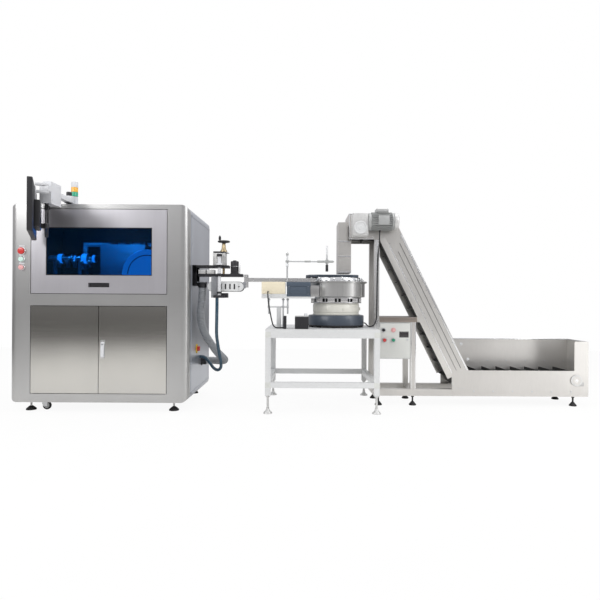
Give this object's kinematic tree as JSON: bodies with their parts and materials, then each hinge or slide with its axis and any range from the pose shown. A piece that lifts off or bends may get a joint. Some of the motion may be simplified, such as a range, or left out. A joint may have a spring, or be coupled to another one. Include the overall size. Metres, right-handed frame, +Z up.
{
  "type": "vision inspection machine",
  "caption": "Inspection cabinet with blue window and glass disc, infeed unit, vibratory bowl feeder on a white table and a cleated-belt elevator with hopper.",
  "frame": {"origin": "on the floor, under the middle of the line's overall length and depth", "axes": "+X along the line from the cabinet to the elevator, +Y to the rear, +Z up"},
  "size_m": [5.44, 1.8591, 2.12],
  "materials": {
    "stainless": "brushed",
    "deck_steel": "satin",
    "rubber_black": "matte",
    "zinc": "polished",
    "blue_window": "tinted",
    "red_plastic": "gloss",
    "green_plastic": "gloss",
    "white_plastic": "satin",
    "black_metal": "satin",
    "black_plastic": "matte",
    "disc_glass": "clear",
    "machined_steel": "machined",
    "hose_grey": "matte",
    "hose_blue": "gloss",
    "cream_paint": "satin",
    "white_paint": "satin",
    "slate_paint": "hammered",
    "elevator_steel": "brushed",
    "belt_black": "matte",
    "motor_grey": "painted"
  },
  "bodies": {
    "root": {"front_frame": "stainless", "cabinet_wrap": "stainless", "rear_panel": "stainless", "base_pan": "deck_steel", "machine_deck": "deck_steel", "levelling_feet": "rubber_black", "switch_plates": "zinc", "tower_light": "white_plastic", "arm_base": "black_metal", "cameras": "white_plastic", "infeed_bracket": "black_metal", "infeed_column": "machined_steel", "suction_hose": "hose_grey", "tube_bundle": "hose_blue", "table_cables": "black_plastic", "feed_rail": "machined_steel", "feeder_cover": "cream_paint", "rail_stand": "white_paint", "vibrator_bases": "slate_paint", "drive_housing": "cream_paint", "controller": "black_metal", "table_frame": "white_paint", "table_top": "white_paint", "elevator_frame": "elevator_steel", "elevator_casing": "elevator_steel", "elevator_hopper": "elevator_steel", "elevator_belt": "belt_black", "gearmotor": "motor_grey", "control_box": "white_paint"},
    "upper_door": {"upper_door": "stainless", "door_window": "blue_window"},
    "left_door": {"left_door": "stainless"},
    "right_door": {"right_door": "stainless"},
    "door_latch": {"door_latch": "zinc"},
    "estop_button": {"estop_button": "red_plastic"},
    "start_button": {"start_button": "green_plastic"},
    "stop_button": {"stop_button": "red_plastic"},
    "caster_fork_front": {"caster_fork_front": "zinc"},
    "caster_wheel_front": {"caster_wheel_front": "rubber_black"},
    "caster_fork_rear": {"caster_fork_rear": "zinc"},
    "caster_wheel_rear": {"caster_wheel_rear": "rubber_black"},
    "monitor_arm": {"monitor_arm": "white_plastic", "monitor_cables": "black_plastic"},
    "monitor": {"monitor": "black_plastic"},
    "isolator_knob": {"isolator_knob": "red_plastic"},
    "turntable": {"turntable": "disc_glass"},
    "handwheel": {"handwheel": "black_plastic"},
    "crank_grip": {"crank_grip": "black_plastic"},
    "conveyor": {"conveyor_body": "machined_steel"},
    "drive_roller": {"drive_roller": "machined_steel"},
    "idle_roller": {"idle_roller": "machined_steel"},
    "bowl": {"bowl": "machined_steel"},
    "controller_knob": {"controller_knob": "white_plastic"},
    "head_drum": {"head_drum": "machined_steel"},
    "tail_drum": {"tail_drum": "machined_steel"},
    "control_box_door": {"control_box_door": "white_paint"},
    "selector_switch": {"selector_switch": "black_plastic"},
    "elevator_estop": {"elevator_estop": "red_plastic"},
    "elevator_start": {"elevator_start": "green_plastic"},
    "lamp_button": {"lamp_button": "red_plastic"}
  },
  "joints": [
    {"name": "upper_door_lift", "type": "hinge", "parent": "root", "child": "upper_door", "pos_m": [-1.9125, -0.182, 1.82], "axis": [-1, 0, 0], "range_deg": [0, 11]},
    {"name": "left_door_swing", "type": "hinge", "parent": "root", "child": "left_door", "pos_m": [-2.515, -0.182, 0.5625], "axis": [0, 0, -1], "range_deg": [0, 110]},
    {"name": "right_door_swing", "type": "hinge", "parent": "root", "child": "right_door", "pos_m": [-1.31, -0.182, 0.5625], "axis": [0, 0, 1], "range_deg": [0, 110]},
    {"name": "latch_turn", "type": "hinge", "parent": "right_door", "child": "door_latch", "pos_m": [-1.874, -0.19, 0.621], "axis": [0, -1, 0], "range_deg": [0, 90]},
    {"name": "estop_press", "type": "slide", "parent": "root", "child": "estop_button", "axis": [0, 1, 0], "range_m": [0, 0.005], "stiffness_N_per_m": 900},
    {"name": "start_press", "type": "slide", "parent": "root", "child": "start_button", "axis": [0, 1, 0], "range_m": [0, 0.004], "stiffness_N_per_m": 600},
    {"name": "stop_press", "type": "slide", "parent": "root", "child": "stop_button", "axis": [0, 1, 0], "range_m": [0, 0.004], "stiffness_N_per_m": 600},
    {"name": "front_caster_swivel", "type": "hinge", "parent": "root", "child": "caster_fork_front", "pos_m": [-2.45, -0.08, 0.08], "axis": [0, 0, 1], "continuous": true},
    {"name": "front_caster_roll", "type": "hinge", "parent": "caster_fork_front", "child": "caster_wheel_front", "pos_m": [-2.424, -0.08, 0.04], "axis": [0, 1, 0], "continuous": true},
    {"name": "rear_caster_swivel", "type": "hinge", "parent": "root", "child": "caster_fork_rear", "pos_m": [-2.45, 0.81, 0.08], "axis": [0, 0, 1], "continuous": true},
    {"name": "rear_caster_roll", "type": "hinge", "parent": "caster_fork_rear", "child": "caster_wheel_rear", "pos_m": [-2.424, 0.81, 0.04], "axis": [0, 1, 0], "continuous": true},
    {"name": "arm_swivel", "type": "hinge", "parent": "root", "child": "monitor_arm", "pos_m": [-2.234, -0.08, 1.93], "axis": [0, 0, 1], "range_deg": [0, 40]},
    {"name": "monitor_pan", "type": "hinge", "parent": "monitor_arm", "child": "monitor", "pos_m": [-2.204, -0.56, 1.93], "axis": [0, 0, 1], "range_deg": [0, 60]},
    {"name": "isolator_turn", "type": "hinge", "parent": "root", "child": "isolator_knob", "pos_m": [-1.105, 0.197, 0.544], "axis": [1, 0, 0], "range_deg": [0, 90]},
    {"name": "turntable_spin", "type": "hinge", "parent": "root", "child": "turntable", "pos_m": [-1.85, 0.4, 1.1], "axis": [0, 0, 1], "continuous": true},
    {"name": "handwheel_turn", "type": "hinge", "parent": "root", "child": "handwheel", "pos_m": [-0.826, 0.06, 1.572], "axis": [0, 0, 1], "range_deg": [-901, 1081]},
    {"name": "crank_grip_spin", "type": "hinge", "parent": "handwheel", "child": "crank_grip", "pos_m": [-0.864, 0.06, 1.6], "axis": [0, 0, 1], "continuous": true},
    {"name": "conveyor_lift", "type": "slide", "parent": "root", "child": "conveyor", "axis": [0, 0, 1], "range_m": [-0.012, 0.01]},
    {"name": "drive_roller_spin", "type": "hinge", "parent": "conveyor", "child": "drive_roller", "pos_m": [-0.676, 0.06, 1.145], "axis": [0, 1, 0], "continuous": true},
    {"name": "idle_roller_spin", "type": "hinge", "parent": "conveyor", "child": "idle_roller", "pos_m": [-0.928, 0.06, 1.145], "axis": [0, 1, 0], "continuous": true},
    {"name": "bowl_vibrate", "type": "hinge", "parent": "root", "child": "bowl", "pos_m": [0.259, 0.31, 1.06], "axis": [0, 0, 1], "range_deg": [-1, 1], "stiffness_Nm_per_rad": 9000},
    {"name": "controller_knob_turn", "type": "hinge", "parent": "root", "child": "controller_knob", "pos_m": [-0.046, -0.075, 0.88], "axis": [0, 0, 1], "range_deg": [0, 270]},
    {"name": "head_drum_spin", "type": "hinge", "parent": "root", "child": "head_drum", "pos_m": [0.47, 0.4, 1.712], "axis": [0, 1, 0], "continuous": true},
    {"name": "tail_drum_spin", "type": "hinge", "parent": "root", "child": "tail_drum", "pos_m": [2.6, 0.4, 0.252], "axis": [0, 1, 0], "continuous": true},
    {"name": "control_box_door_swing", "type": "hinge", "parent": "root", "child": "control_box_door", "pos_m": [0.686, 0.206, 0.632], "axis": [0, 0, -1], "range_deg": [0, 95]},
    {"name": "selector_turn", "type": "hinge", "parent": "control_box_door", "child": "selector_switch", "pos_m": [0.716, 0.2, 0.735], "axis": [0, -1, 0], "range_deg": [0, 90]},
    {"name": "lamp_press", "type": "slide", "parent": "control_box_door", "child": "lamp_button", "axis": [0, 1, 0], "range_m": [0, 0.004], "stiffness_N_per_m": 400},
    {"name": "elevator_estop_press", "type": "slide", "parent": "control_box_door", "child": "elevator_estop", "axis": [0, 1, 0], "range_m": [0, 0.004], "stiffness_N_per_m": 500},
    {"name": "elevator_start_press", "type": "slide", "parent": "control_box_door", "child": "elevator_start", "axis": [0, 1, 0], "range_m": [0, 0.004], "stiffness_N_per_m": 400}
  ],
  "couplings": [
    {"joint": "handwheel_turn", "follows": "conveyor_lift", "rad_per_m": -1570.8},
    {"joint": "idle_roller_spin", "follows": "drive_roller_spin", "ratio": 1},
    {"joint": "tail_drum_spin", "follows": "head_drum_spin", "ratio": 1}
  ]
}
